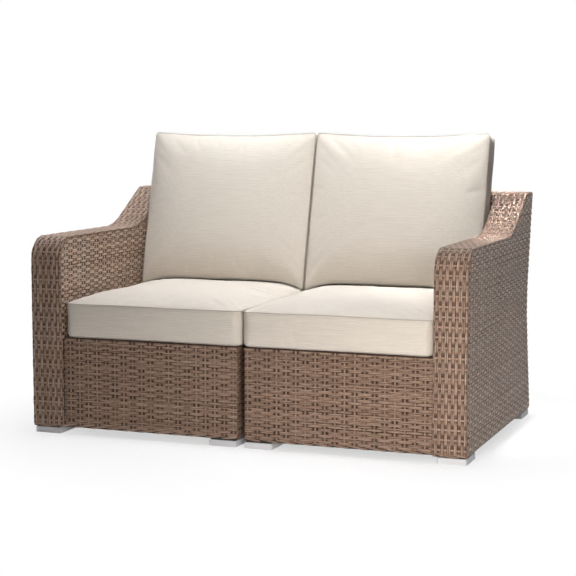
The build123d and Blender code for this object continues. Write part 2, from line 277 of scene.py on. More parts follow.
def fabric(name, low, middle, high):
    """Spun olefin in a plain weave with slubs: matt, with faint level streaks of thick yarn."""
    material, tree = start_material(name)
    place = add(tree, "ShaderNodeTexCoord").outputs["Object"]
    # Slubs about 80 mm long and 2 mm apart
    slub_place = add(tree, "ShaderNodeVectorMath", {0: place, 1: (12.0, 500.0, 500.0)},
                     operation="MULTIPLY").outputs[0]
    slub = add(tree, "ShaderNodeTexNoise", {
        "Vector": slub_place, "Scale": 1.0, "Detail": 3.0, "Roughness": 0.55,
    }).outputs["Fac"]
    # Yarns 0.9 mm apart, drawn coarser than the real 0.5 mm so that they show
    thread_place = add(tree, "ShaderNodeVectorMath", {0: place, 1: (600.0, 1100.0, 1100.0)},
                       operation="MULTIPLY").outputs[0]
    thread = add(tree, "ShaderNodeTexNoise", {"Vector": thread_place, "Scale": 1.0}).outputs["Fac"]
    yarn = add(tree, "ShaderNodeMix", {"Factor": 0.3, "A": slub, "B": thread}).outputs["Result"]
    # Level lines 7 mm apart: a wave texture repeats every 2 pi / (20 scale)
    line = add(tree, "ShaderNodeTexWave", {
        "Vector": place, "Scale": 2 * pi / 20 / 0.007, "Distortion": 3.0, "Detail": 2.0,
    }, bands_direction="Z").outputs["Fac"]
    # The lines fade out where the cover turns level, so as not to draw contours there
    normal = add(tree, "ShaderNodeNewGeometry").outputs["Normal"]
    normal_z = add(tree, "ShaderNodeSeparateXYZ", {0: normal}).outputs["Z"]
    share = add(tree, "ShaderNodeMapRange", {
        "Value": normal_z, "From Min": 0.35, "From Max": 0.75, "To Min": 0.12, "To Max": 0.0,
    }).outputs["Result"]
    tone = add(tree, "ShaderNodeMix", {"Factor": share, "A": yarn, "B": line}).outputs["Result"]
    colour = ramp(tree, tone, ((0.25, low), (0.5, middle), (0.75, high)))
    bump = add(tree, "ShaderNodeBump", {"Height": tone, "Strength": 0.3, "Distance": 0.0006})
    shade_with(tree, {
        "Base Color": colour, "Roughness": 0.92, "Sheen Weight": 0.15,
        "Specular IOR Level": 0.25, "Normal": bump.outputs[0],
    })
    return material


def grained(name, stops, scale, roughness, metallic=0.0):
    """Hard finish whose colour and bump vary in a fine noise of a given scale."""
    material, tree = start_material(name)
    place = add(tree, "ShaderNodeTexCoord").outputs["Object"]
    grain = add(tree, "ShaderNodeTexNoise", {
        "Vector": place, "Scale": scale, "Detail": 4.0,
    }).outputs["Fac"]
    bump = add(tree, "ShaderNodeBump", {"Height": grain, "Strength": 0.5, "Distance": 0.00005})
    shade_with(tree, {
        "Base Color": ramp(tree, grain, stops), "Roughness": roughness, "Metallic": metallic,
        "Normal": bump.outputs[0],
    })
    return material


rattan_strand = rattan()
painted_weave_shade = shade_sheet()
cover_fabric = fabric("spun_olefin_fabric", "C5BCAF", "D2C9BD", "DED6CB")
# Piping in darker colours than the same fabric of the cover: painted shade along the seams
shaded_piping_fabric = fabric("spun_olefin_piping", "A69D93", "B5ACA2", "C4BBB1")
# Satin powder coat, whose orange peel is about 1 mm across
frame_coat = grained("brown_powder_coat", ((0.3, "2C221C"), (0.7, "362A22")), 900.0, 0.5)
# Cast aluminium painted silver: fine grit of about 1 mm, softly shining
pad_metal = grained("silver_painted_aluminium", ((0.3, "D8D8DB"), (0.7, "E4E4E7")), 800.0, 0.42)
# Black powder coat on steel plate, matt
plate_coat = grained("black_powder_coat", ((0.3, "101010"), (0.7, "191919")), 900.0, 0.6)
# Zinc plated steel: spangle about 2 mm across
zinc_plate = grained("zinc_plated_steel", ((0.3, "9DA1A4"), (0.7, "B9BDC0")), 500.0, 0.35, 1.0)

node_finishes = {
    "foot_pads": pad_metal,
    "foot_plates": plate_coat,
    "foot_studs": zinc_plate,
}


# Surfaces

def rounded_path(corners):
    """Path through corners (a, b, radius), as points 1 mm apart with their outward normals.

    Each rounding is the arc start + radius (sin t, 1 - cos t) between its tangent points. The
    inside lies to the right of the walk, so a normal is the tangent turned to the left.
    """
    points = []
    for index, (a, b, radius) in enumerate(corners):
        corner = np.array([a, b], float)
        if not radius:
            points.append(corner[None])
            continue
        before = corner - np.array(corners[index - 1][:2])
        after = np.array(corners[index + 1][:2]) - corner
        before, after = before / np.hypot(*before), after / np.hypot(*after)
        cross = before[0] * after[1] - before[1] * after[0]
        turn = np.arccos(np.clip(before @ after, -1, 1))
        centre_way = np.sign(cross) * np.array([-before[1], before[0]])
        angle = np.linspace(0, turn, arc_points)[:, None]
        start = corner - before * radius * np.tan(turn / 2)
        points.append(start + radius * (before * np.sin(angle) + centre_way * (1 - np.cos(angle))))
    points = np.concatenate(points)
    length = np.concatenate([[0], np.cumsum(np.hypot(*np.diff(points, axis=0).T))])
    at = np.linspace(0, length[-1], int(length[-1]) + 2)
    path = np.stack([np.interp(at, length, points[:, i]) for i in (0, 1)], -1)
    tangent = np.gradient(path, axis=0)
    tangent /= np.hypot(*tangent.T)[:, None]
    return at, path, np.stack([-tangent[:, 1], tangent[:, 0]], -1)


def along(path, s):
    """Points and normals of a path at arc lengths s."""
    at, points, normals = path
    return (
        np.stack([np.interp(s, at, points[:, i]) for i in (0, 1)], -1),
        np.stack([np.interp(s, at, normals[:, i]) for i in (0, 1)], -1),
    )


def swept_skin(profile, section):
    """Surface of a section (x, outward) carried along a profile (y, z).

    A point (u, v, h) is the section's point at u, pushed out by h along its normal, and set on
    the profile's point at v with its outward part along the profile's normal.
    """
    def place(u, v, h):
        flat, flat_normal = along(section, u)
        spot, normal = along(profile, v)
        flat = flat + flat_normal * (h - skin_middle)[..., None]
        spot = spot + normal * flat[..., 1:]
        return np.stack([flat[..., 0], spot[..., 0], spot[..., 1]], -1)
    return place


def turned(place):
    """The surface with u and v changed over, for a weave whose wefts run along its profile."""
    return lambda u, v, h: place(v, u, h)


def flat_skin(plane_x, facing, full_depth):
    """Upright surface at one x: u runs to the rear edge, whose waist squeezes it, v is z."""
    rear = rounded_path(rear_corners)[1][::-1]

    def place(u, v, h):
        u, v, h = np.broadcast_arrays(u, v, h)
        rear_edge = np.interp(v, rear[:, 1], rear[:, 0])
        y = front_y + u / full_depth * (rear_edge - front_y)
        return np.stack([plane_x + facing * (h - skin_middle), y, v], -1)
    return place


def grid_quads(shape):
    """Quads of a stack of grids (count, rows, columns), as indices of their points."""
    index = np.arange(np.prod(shape)).reshape(shape)
    corners = (index[:, :-1, :-1], index[:, 1:, :-1], index[:, 1:, 1:], index[:, :-1, 1:])
    return np.stack(corners, -1)


def piece_from(name, points, quads, material, uv=None, shade=None):
    """Mesh object in metres from points in millimetres, with its uv map and shade."""
    used, quads = np.unique(quads, return_inverse=True)
    quads = quads.reshape(-1, 4)
    mesh = bpy.data.meshes.new(name)
    mesh.vertices.add(len(used))
    mesh.loops.add(quads.size)
    mesh.polygons.add(len(quads))
    mesh.vertices.foreach_set("co", (points[used] / 1000).astype(np.float32).ravel())
    mesh.loops.foreach_set("vertex_index", quads.ravel().astype(np.int32))
    mesh.polygons.foreach_set("loop_start", np.arange(0, quads.size, 4, dtype=np.int32))
    mesh.polygons.foreach_set("use_smooth", np.ones(len(quads), bool))
    if uv is not None:
        layer = mesh.uv_layers.new(name="UVMap")
        layer.uv.foreach_set("vector", (uv[used][quads] / 1000).astype(np.float32).ravel())
    if shade is not None:
        field = mesh.attributes.new("shade", "FLOAT", "POINT")
        field.data.foreach_set("value", shade[used].astype(np.float32))
    mesh.update(calc_edges=True)
    mesh.validate()
    mesh.materials.append(material)
    made = bpy.data.objects.new(name, mesh)
    bpy.context.scene.collection.objects.link(made)
    return made


def facing_out(place, u, v, quads, points):
    """The quads, turned round if the first of them, which starts at (u, v), faces inwards."""
    a, b, c = (points[quads[0, i]] for i in (0, 1, 2))
    inner, outer = (place(np.array([u]), np.array([v]), np.array([h]))[0] for h in (0.0, 1.0))
    return quads if np.cross(b - a, c - b) @ (outer - inner) > 0 else quads[:, ::-1]


def strand_wave(phase, power):
    """Over and under wave between -1 and 1: the sign of cos t times |cos t| to a power."""
    wave = np.cos(pi * phase)
    return np.sign(wave) * np.abs(wave) ** power


def ribbons(place, u, v, share, width, swing, level, style, rng):
    """Crowned strands centred on rows of points (u, v), lifted by swing times their share.

    Across a strand the surface falls from its crown by the thickness times the cube of the
    share of the half width. Level strands run along u, and the others along v. Painted light
    is put into each strand's shade: a painted highlight where it comes to the top of the weave,
    and painted shade where it dives, on the upper side of the strand that it is tucked under,
    and at its edges.
    """
    side = np.array([-1, -0.5, 0.5, 1])
    offset = side * width[..., None] / 2
    drop = strand_thickness * np.abs(side) ** 3
    across_u, across_v = (0, offset) if level else (offset, 0)
    all_u = np.broadcast_to(u[..., None] + across_u, (*u.shape, 4))
    all_v = np.broadcast_to(v[..., None] + across_v, (*u.shape, 4))
    points = place(all_u, all_v, swing * share[..., None] - drop)
    run = u if level else v
    kept = np.abs(np.diff(run, axis=1)) > least_step
    quads = grid_quads(points.shape[:3])[kept].reshape(-1, 4)
    points = points.reshape(-1, 3)
    first = tuple(np.argwhere(kept)[0])
    quads = facing_out(place, u[first], v[first], quads, points)
    over = np.broadcast_to(offset, all_u.shape)
    length = np.broadcast_to(run[..., None], all_u.shape)
    uv = np.stack([length, over], -1).reshape(-1, 2)
    tones = 0.5 + shade_spread * (rng.random((len(u), 1, 1)) - 0.5)
    # Painted light added to the strand's own random tone: painted highlight where it is lifted,
    # painted shade in its dips, painted shadow on the upper side where it is tucked under, and
    # painted shade along its edges
    top_light, dip_shadow = style["weft_painted_light" if level else "stake_painted_light"]
    painted_height_light = share * np.where(share > 0, top_light, dip_shadow)
    rising = np.gradient(share, axis=1) * (1 if level else -1) > 0
    tuck_shadow = style["tuck_shadows"][0 if level else 1]
    painted_height_light = painted_height_light - tuck_shadow * (1 - np.abs(share)) ** 4 * rising
    shade = tones + painted_height_light[..., None] - edge_shadow * np.abs(side) ** 3
    return points, quads, uv, shade.ravel()


def joined(parts):
    """Several (points, quads, uv, shade) as one."""
    starts = np.cumsum([0] + [len(part[0]) for part in parts[:-1]])
    quads = np.concatenate([part[1] + start for part, start in zip(parts, starts)])
    return (np.concatenate([part[0] for part in parts]), quads,
            np.concatenate([part[2] for part in parts]),
            np.concatenate([part[3] for part in parts]))


def lattice(place, span, v_limits, pitch, stake_at, rng, style):
    """Basket weave: level wefts over and under upright stakes, each by turns.

    The wefts pass in groups. A weft of group i lies at its swing times w + lift (1 - w w), where
    w is the wave of i plus the number of stakes passed, so it is lifted between the crossings.
    Each crossing has its own rise above, and its own dip below. A stake lies at minus its own
    swing times the wave. span gives the lowest and highest u of the weave at each v.
    """
    weft_pitch, stake_pitch = pitch
    group = style["group"]
    rows = np.arange(v_limits[0] + weft_pitch / 2, v_limits[1] - weft_pitch / 3, weft_pitch)
    low, high = span(rows)
    start, stop = ((end - stake_at) // stake_pitch for end in (low.min(), high.max()))
    samples = stake_at + np.arange(start, stop + 2, 1 / style["samples"]) * stake_pitch
    u = np.clip(samples[None], low[:, None], high[:, None])
    drift = rng.normal(0, weft_shift, (len(rows), 1)) + weft_wander * np.sin(
        u / rng.uniform(*wander_lengths, (len(rows), 1)) + rng.uniform(0, 6, (len(rows), 1)))
    order = (np.arange(len(rows)) // group)[:, None]
    phase = (u - stake_at) / stake_pitch
    before = np.floor(phase).astype(int)
    past = phase - before
    before -= before.min()
    crossings = (len(rows), before.max() + 2)
    rises, dips = rng.uniform(0.5, 1.0, crossings), rng.random(crossings) ** 1.5
    rise = (1 - past) * np.take_along_axis(rises, before, 1)
    rise += past * np.take_along_axis(rises, before + 1, 1)
    dip = style["dip_depth"] * np.take_along_axis(dips, before + np.rint(past).astype(int), 1)
    share = strand_wave(phase + order, style["weft_power"])
    share = share + style["weft_lift"] * (1 - share ** 2)
    share = share * np.where(share > 0, rise, dip)
    width = style["weft_width"] * (1 - style["squeeze"] * np.clip(-share, 0, 1))
    middle = np.arange(len(rows)) % group - (group - 1) / 2
    closed_up = rows - middle * style["group_gap"] / group
    parts = [ribbons(place, u, closed_up[:, None] + drift, share, width, style["weft_swing"],
                     True, style, rng)]

    first, last = (int((end - stake_at) / stake_pitch) for end in (low.min(), high.max()))
    stakes = np.arange(first, last + 1)
    centre = stake_at + stakes * stake_pitch
    heights = np.arange(v_limits[0], v_limits[1] + 1, weft_pitch / style["stake_samples"])
    low_at, high_at = span(heights)
    inside = ((centre[:, None] > low_at + stake_clearance)
              & (centre[:, None] < high_at - stake_clearance))
    first_v = np.where(inside, heights, np.inf).min(1, keepdims=True)
    last_v = np.where(inside, heights, -np.inf).max(1, keepdims=True)
    present = np.isfinite(first_v[:, 0])
    v = np.clip(heights[None], first_v[present], last_v[present])
    phase = ((v - rows[0]) / weft_pitch - (group - 1) / 2) / group + stakes[present, None]
    share = -strand_wave(phase, style["stake_power"])
    stake_u = centre[present, None] + rng.normal(0, stake_shift, (present.sum(), 1)) + 0 * v
    width = np.full(v.shape, style["stake_width"])
    parts.append(ribbons(place, stake_u, v, share, width, style["stake_swing"], False, style,
                         rng))
    return parts


def shade_sheet_mesh(place, span, v_limits):
    """Sheet behind the strands, over the whole spread of the weave, carrying the painted shade
    seen through the gaps.
    """
    step_u, step_v = shade_sheet_steps
    v = np.linspace(*v_limits, int((v_limits[1] - v_limits[0]) / step_v) + 2)
    low, high = span(v)
    share = np.linspace(0, 1, int((high - low).max() / step_u) + 2)
    u = low[:, None] + share * (high - low)[:, None]
    v = np.broadcast_to(v[:, None], u.shape)
    points = place(u, v, np.full(u.shape, -shade_sheet_depth)).reshape(-1, 3)
    quads = grid_quads((1, *u.shape)).reshape(-1, 4)
    return points, facing_out(place, u[0, 0], v[0, 0], quads, points)


# Weave styles: wefts in a group and how far they close up, widths of the strands, how they pass
# each other, how far they swing, samples for each stake and weft, and their painted light: the
# painted highlight on their tops, the painted shade in their dips, and the painted shadow where
# they are tucked under
plain_style = {
    "group": 1, "group_gap": 0,
    "weft_width": 7.6, "weft_swing": 1.4, "weft_power": 1.2, "weft_lift": 0, "squeeze": 0.3,
    "stake_width": 7.0, "stake_swing": 1.0, "stake_power": 0.5,
    "samples": 4, "stake_samples": 2, "dip_depth": 1.2,
    "weft_painted_light": (0.14, 0.45), "stake_painted_light": (0.12, 0.2), "tuck_shadows": (0, 0.1),
}
fine_style = {
    **plain_style, "group": 2, "group_gap": 0.4,
    "weft_width": 4.8, "weft_power": 1.0, "weft_lift": 0.5,
    "samples": 5, "stake_samples": 1.5, "dip_depth": 1.4,
    "weft_painted_light": (0.08, 0.65), "stake_painted_light": (0.02, 0.3),
}
# On the arm's band: more painted highlight on the wefts' tops, less painted shade in their dips,
# and a painted shadow on the upper side where a weft is tucked under
band_style = {
    **fine_style,
    "weft_painted_light": (0.17, 0.3), "stake_painted_light": (0.12, 0.2), "tuck_shadows": (0.3, 0.1),
}
# On the arms' sides the painted light is stronger: a lighter painted highlight on top, and darker
# painted shade in their dips
side_style = {
    **fine_style, "squeeze": 0.6, "stake_width": 6.0,
    "weft_painted_light": (0.46, 1.4), "stake_painted_light": (0.42, 0.6),
}


def straight_span(low, high):
    """Span that is the same at every height."""
    return lambda v: (np.full(np.shape(v), float(low)), np.full(np.shape(v), float(high)))


def back_face(z):
    """The y of the back's leaning front face at a height."""
    return slope_top_y - (back_z - z) * back_lean


def skins():
    """Each weave of the right module.

    That is its node, its surface, its span, its limits in v, its pitches, its first stake and
    its style. The front of an arm's side follows the arm's edge, and the rear of the inner side
    follows the back's face.
    """
    both_wraps = rounded_path([
        (arm_x, -wrap, 0), (arm_x, 0, edge_radius), (outer_x, 0, edge_radius),
        (outer_x, -wrap, 0),
    ])
    rear_section = rounded_path([
        (bay_x, -wrap, 0), (bay_x, 0, edge_radius), (outer_x, 0, edge_radius),
        (outer_x, -wrap, 0),
    ])
    bay_section = rounded_path([(bay_x, -wrap, 0), (bay_x, 0, edge_radius), (arm_x, 0, 0)])
    deck_section = rounded_path([(bay_x, 0, 0), (arm_x, 0, 0)])
    arm_path, rear_path = rounded_path(arm_corners), rounded_path(rear_corners)
    back_path, apron_path = rounded_path(back_corners), rounded_path(apron_corners)
    deck_path = rounded_path(deck_corners)
    band_length, rear_length = both_wraps[0][-1], rear_section[0][-1]
    bay_length = bay_section[0][-1]
    full_depth = rear_y - front_y
    edge = wrap - 4

    def to_u(y, z):
        rear = rear_path[1][::-1]
        return (y - front_y) / (np.interp(z, rear[:, 1], rear[:, 0]) - front_y) * full_depth

    arm_edge = arm_path[1] - arm_path[2] * edge

    def arm_span(z):
        front = np.interp(z, arm_edge[:, 1], arm_edge[:, 0])
        return to_u(front, z), np.full(np.shape(z), float(full_depth - edge))

    def arm_inner_span(z):
        front = arm_span(z)[0]
        return front, np.maximum(to_u(back_face(z), z), front)

    def bay_span(z):
        front = np.where(z < deck_z - edge / 2, apron_y + edge, back_face(z) + edge)
        return to_u(front, z), np.full(np.shape(z), float(full_depth - edge))

    outer = flat_skin(outer_x, 1, full_depth)
    inner = flat_skin(arm_x, -1, full_depth)
    bay = flat_skin(bay_x, -1, full_depth)
    low, arm_top, back_top = hem_z + 5, arm_edge[:, 1].max(), back_z - edge
    return [
        ("arm_band_weave", turned(swept_skin(arm_path, both_wraps)),
         straight_span(6, arm_path[0][-1] - 1), (0, band_length), band_pitch, 21, band_style),
        ("arm_outer_weave", outer, arm_span, (low, arm_top), side_pitch, 14, side_style),
        ("arm_inner_weave", inner, arm_inner_span, (deck_z - 3, arm_top), side_pitch, 14,
         side_style),
        ("inner_side_weave", bay, bay_span, (low, back_top), side_pitch, 14, fine_style),
        ("apron_weave", swept_skin(apron_path, bay_section), straight_span(0, bay_length),
         (8, apron_path[0][-1]), bay_pitch, wrap + 12, fine_style),
        ("back_front_weave", swept_skin(back_path, bay_section), straight_span(0, bay_length),
         (0, back_path[0][-1]), bay_pitch, wrap + 12, fine_style),
        ("back_rear_weave", swept_skin(rear_path, rear_section),
         straight_span(0, rear_length), (1, rear_path[0][-1] - 6), rear_pitch, wrap + 12,
         fine_style),
        ("seat_deck_weave", swept_skin(deck_path, deck_section),
         straight_span(1, arm_x - bay_x - 1), (0, deck_path[0][-1]), deck_pitch, 17,
         plain_style),
    ]


def tube(path, up, radius):
    """Closed round cord of a radius along points: path + radius (cos t side + sin t up)."""
    way = np.roll(path, -1, 0) - np.roll(path, 1, 0)
    side = np.cross(way, up)
    side /= np.linalg.norm(side, axis=1)[:, None]
    lift = np.cross(side, way)
    lift /= np.linalg.norm(lift, axis=1)[:, None]
    angle = np.linspace(0, 2 * pi, cord_sides + 1)[:, None, None]
    points = path + radius * (np.cos(angle) * side + np.sin(angle) * lift)
    points = np.concatenate([points, points[:, :1]], 1)
    quads = grid_quads((1, *points.shape[:2])).reshape(-1, 4)[:, ::-1]
    step = np.concatenate([[0], np.cumsum(np.linalg.norm(np.diff(points[0], axis=0), axis=1))])
    girth = np.linspace(0, 2 * pi * radius, cord_sides + 1)
    uv = np.stack(np.broadcast_arrays(step[None], girth[:, None]), -1).reshape(-1, 2)
    return points.reshape(-1, 3), quads, uv


def hem(rng):
    """Two strands twisted round each other along the module's lower edge.

    Each is centre + radius (cos t out + sin t up), with t growing along the edge.
    """
    start_x = 300
    at, flat, normal = rounded_path([
        (start_x, rear_y, 0), (outer_x, rear_y, 8), (outer_x, front_y, 10), (arm_x, front_y, 6),
        (arm_x, apron_y, 3), (bay_x, apron_y, 8), (bay_x, rear_y, 8), (start_x, rear_y, 0),
    ])
    flat = (flat - normal * hem_inset)[:-1]
    centre = np.column_stack([flat, np.full(len(flat), hem_z + hem_lift)])
    out = np.column_stack([normal[:-1], np.zeros(len(flat))])
    up = np.array([0, 0, 1.0])
    parts = []
    for start in (0, pi):
        turn = (2 * pi * at[:-1] / hem_twist + start)[:, None]
        path = centre + (out * np.cos(turn) + up * np.sin(turn)) * hem_strand_radius
        points, quads, uv = tube(path[::hem_step], up, hem_strand_radius)
        parts.append((points, quads, uv, np.full(len(points), 0.4 + 0.2 * rng.random())))
    return joined(parts)


def mirrored(points, quads):
    """Mirror image in the plane x = 0, with its quads still facing out."""
    return points * (-1, 1, 1), quads[:, ::-1]


def weave_module(side, seed):
    """Strands of a module and the sheets of painted shade behind them, in place of the CAD skins.
    """
    for number, skin in enumerate(skins()):
        node, place, span, v_limits, pitch, stake_at, style = skin
        rng = np.random.default_rng(seed + number)
        points, quads, uv, shade = joined(
            lattice(place, span, v_limits, pitch, stake_at, rng, style))
        back_points, back_quads = shade_sheet_mesh(place, span, v_limits)
        if side == "left":
            points, quads = mirrored(points, quads)
            back_points, back_quads = mirrored(back_points, back_quads)
        strands = piece_from(f"{side}_{node}_strands", points, quads, rattan_strand, uv, shade)
        shadow = piece_from(f"{side}_{node}_lining", back_points, back_quads, painted_weave_shade)
        for made in (strands, shadow):
            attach(made, f"{side}_module")
        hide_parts(f"{side}_{node}")
    points, quads, uv, shade = hem(np.random.default_rng(seed + 20))
    if side == "left":
        points, quads = mirrored(points, quads)
    border = piece_from(f"{side}_hem", points, quads, rattan_strand, uv, shade)
    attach(border, f"{side}_module")


weave_module("right", 10)
weave_module("left", 50)

# Cushions

def box_lattice(counts):
    """Closed box of quads: its points (a, b, c) from -1 to 1, its quads and its index grid."""
    grid = np.indices([count + 1 for count in counts])
    top = np.array(counts)[:, None, None, None]
    shell = ((grid == 0) | (grid == top)).any(0)
    index = np.full(shell.shape, -1)
    index[shell] = np.arange(shell.sum())
    quads = []
    for axis in range(3):
        for end in (0, -1):
            sheet = np.take(index, end, axis)[None]
            face = sheet.ravel()[grid_quads(sheet.shape)].reshape(-1, 4)
            inward = (axis == 1) == (end == -1)
            quads.append(face[:, ::-1] if inward else face)
    return np.argwhere(shell) / counts * 2 - 1, np.concatenate(quads), index


def rim(index, level):
    """Indices round the edge of a box lattice at one end of its third direction."""
    sheet = index[:, :, level]
    return np.concatenate([sheet[:-1, 0], sheet[-1, :-1], sheet[:0:-1, -1], sheet[0, :0:-1]])


def rounded_corner(p, q, radius):
    """Squeeze a square corner to a quarter disc: p sqrt(1 - q q / 2) and q sqrt(1 - p p / 2).

    p and q are distances from the two edges, and only points nearer than the radius move.
    """
    a, b = (np.clip(1 - x / radius, 0, 1) for x in (p, q))
    new_a, new_b = a * np.sqrt(1 - b * b / 2), b * np.sqrt(1 - a * a / 2)
    return p + (a - new_a) * radius, q + (b - new_b) * radius


def cushion_plan(a, b, half, corner, draw):
    """Outline scaled to the ring of (a, b): rounded corners, sides drawn in between them."""
    ring = np.maximum(np.maximum(np.abs(a), np.abs(b)), 1e-6)
    alpha, beta = a / ring, b / ring
    from_x, from_y = half[0] * (1 - np.abs(alpha)), half[1] * (1 - np.abs(beta))
    from_x, from_y = rounded_corner(from_x, from_y, corner)
    x = np.sign(alpha) * (half[0] - from_x) - alpha * draw[0] * (1 - beta ** 2)
    y = np.sign(beta) * (half[1] - from_y) - beta * draw[1] * (1 - alpha ** 2)
    return x, y, ring


def crown(a, b, power):
    """Crown over a panel: the square root of (1 - |a| to a power) (1 - |b| to that power)."""
    return np.sqrt(np.clip((1 - np.abs(a) ** power) * (1 - np.abs(b) ** power), 0, 1))


def seat_form(a, b, c):
    """Seat cushion about its middle, from its bottom: soft low edge, boxing and crown.

    The outline shrinks towards the middle by the ring of (a, b) and by the low edge's rounding,
    and the top rises by seat_crown times the crown.
    """
    x, y, ring = cushion_plan(a, b, seat_half, seat_corner, seat_draw)
    small = min(seat_half)
    inward, z = rounded_corner((1 - ring) * small, (c + 1) / 2 * seat_boxing, seat_low_radius)
    scale = 1 - inward / small
    z = z + np.where(c > face_from, seat_crown * crown(a, b, seat_crown_power), 0)
    return np.stack([x * scale, y * scale, z], -1)


def pillow_form(a, b, c):
    """Back cushion about its middle, from its front seam: boxing with a crown on each face."""
    x, y, ring = cushion_plan(a, b, pillow_half, pillow_corner, pillow_draw)
    full = crown(a, b, pillow_crown_power)
    front = np.where(c > face_from, pillow_crowns[0] * full, 0)
    rear = np.where(c < -face_from, pillow_crowns[1] * full, 0)
    return np.stack([x * ring, y * ring, (c - 1) / 2 * pillow_boxing + front - rear], -1)


def stand_seat(points):
    """Set a seat cushion on its deck."""
    return points + (*seat_middle, seat_rest_z)


lean = radians(pillow_lean)
pillow_up = np.array([0, np.sin(lean), np.cos(lean)])
pillow_out = np.array([0, -np.cos(lean), np.sin(lean)])
pillow_foot = np.array([pillow_middle_x, pillow_front_y, pillow_rest_z])


def stand_pillow(points):
    """Set a back cushion on its seat cushion, leaning back."""
    return (pillow_foot + points[:, :1] * (1, 0, 0)
            + (points[:, 1:2] + pillow_half[1]) * pillow_up + points[:, 2:] * pillow_out)


def rippled(points, held, size, rng):
    """Seam points moved by a few sine waves of up to a size, as a sewn edge wanders."""
    turn = np.linspace(0, 2 * pi, len(held), endpoint=False)[:, None]
    waves = sum(
        rng.uniform(-1, 1, (1, 3)) * np.sin(count * turn + rng.uniform(0, 2 * pi, (1, 3)))
        for count in (3, 5, 8, 13, 21)
    )
    points[held] += size * waves / 2
    return points


class Cushion:
    """A cushion's lattice, its start shape in place and its seams."""

    def __init__(self, name, counts, form, stand, ripple, seed):
        self.name = name
        self.lattice, self.quads, self.index = box_lattice(counts)
        self.seams = [rim(self.index, level) for level in (-1, 0)]
        rng = np.random.default_rng(seed)
        points = form(*self.lattice.T)
        for seam in self.seams:
            points = rippled(points, seam, ripple, rng)
        self.points = stand(points)


def inflate(cushions):
    """Cloth simulation of all the cushions at once, held along their seams.

    Each cushion's cover is cut a little larger than its form, and pressure fills it out.
    """
    made = []
    for cushion in cushions:
        item = piece_from(f"{cushion.name}_start", cushion.points, cushion.quads, cover_fabric)
        group = item.vertex_groups.new(name="seams")
        group.add([int(i) for i in np.concatenate(cushion.seams)], 1.0, "REPLACE")
        cloth = item.modifiers.new("cloth", "CLOTH")
        cloth.settings.quality = 6
        cloth.settings.mass = 0.4
        cloth.settings.tension_stiffness = 15
        cloth.settings.compression_stiffness = 15
        cloth.settings.shear_stiffness = 5
        cloth.settings.bending_stiffness = 0.8
        cloth.settings.vertex_group_mass = "seams"
        cloth.settings.use_pressure = True
        cloth.settings.uniform_pressure_force = cloth_pressure
        cloth.settings.shrink_min = -cloth_excess
        cloth.settings.effector_weights.gravity = 0
        cloth.collision_settings.use_collision = False
        cloth.point_cache.frame_start = 1
        cloth.point_cache.frame_end = cloth_frames
        made.append(item)
    for step in range(1, cloth_frames + 1):
        bpy.context.scene.frame_set(step)
    graph = bpy.context.evaluated_depsgraph_get()
    for cushion, item in zip(cushions, made):
        shaped = item.evaluated_get(graph).to_mesh()
        flat = np.empty(len(shaped.vertices) * 3, np.float32)
        shaped.vertices.foreach_get("co", flat)
        cushion.simulated = flat.reshape(-1, 3).astype(float) * 1000
        data = item.data
        bpy.data.objects.remove(item)
        bpy.data.meshes.remove(data)
    bpy.context.scene.frame_set(1)


def capped(cushion, limit):
    """Simulated points, moved by limit tanh(far / limit) instead of by far."""
    move = cushion.simulated - cushion.points
    far = np.maximum(np.linalg.norm(move, axis=1, keepdims=True), 1e-9)
    return cushion.points + move / far * limit * np.tanh(far / limit)


def finish_cushion(cushion, side, body, nodes, up, welt_radius):
    """Cover and welts of a cushion as pieces that ride on its body."""
    points, quads = cushion.points, cushion.quads
    pieces = []
    if side == "left":
        points, quads = mirrored(points, quads)
    cover = piece_from(f"{side}_{cushion.name}_cover", points, quads, cover_fabric)
    smooth = cover.modifiers.new("smooth", "SUBSURF")
    smooth.levels = smooth.render_levels = 1
    for number, seam in enumerate(cushion.seams):
        welt_points, welt_quads, welt_uv = tube(points[seam], up, welt_radius)
        pieces.append(piece_from(f"{side}_{cushion.name}_welt_{number}", welt_points, welt_quads,
                                 shaded_piping_fabric, welt_uv))
    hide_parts(*nodes)
    for made in (cover, *pieces):
        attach(made, body)


def seat_top(cushion):
    """Height of a seat cushion's top at points, from its nearest lattice point."""
    sheet = cushion.index[:, :, -1]
    counts = np.array(sheet.shape) - 1

    def height(x, y):
        share = np.stack([(x - seat_middle[0]) / seat_half[0],
                          (y - seat_middle[1]) / seat_half[1]])
        spot = np.rint((share + 1) / 2 * counts[:, None]).astype(int)
        inside = (np.abs(share) <= 1).all(0)
        spot = np.clip(spot, 0, counts[:, None])
        return np.where(inside, cushion.points[sheet[spot[0], spot[1]], 2], seat_rest_z)
    return height


def let_down(pillow, seat):
    """Sink a back cushion's low part by the gap under its front seam, fading to 0 above it."""
    seam = pillow.points[pillow.index[:, 0, -1]]
    gap = seam[:, 2] - seat_top(seat)(seam[:, 0], seam[:, 1]) - pillow_gap
    low = np.clip(-2 * pillow.lattice[:, 1] - 1, 0, 1) ** 2
    under = np.interp(pillow.points[:, 0], seam[:, 0], np.clip(gap, 0, pillow_sag))
    pillow.points[:, 2] -= low * under


seats = {
    side: Cushion("seat_cushion", seat_counts, seat_form, stand_seat, seat_ripple, seed)
    for side, seed in (("right", 101), ("left", 102))
}
pillows = {
    side: Cushion("back_cushion", pillow_counts, pillow_form, stand_pillow, pillow_ripple, seed)
    for side, seed in (("right", 103), ("left", 104))
}

inflate([*seats.values(), *pillows.values()])
for cushions, swell in ((seats, seat_swell), (pillows, pillow_swell)):
    for cushion in cushions.values():
        cushion.points = capped(cushion, swell)
        cushion.points[:, 0] = np.maximum(cushion.points[:, 0], cushion_clearance)

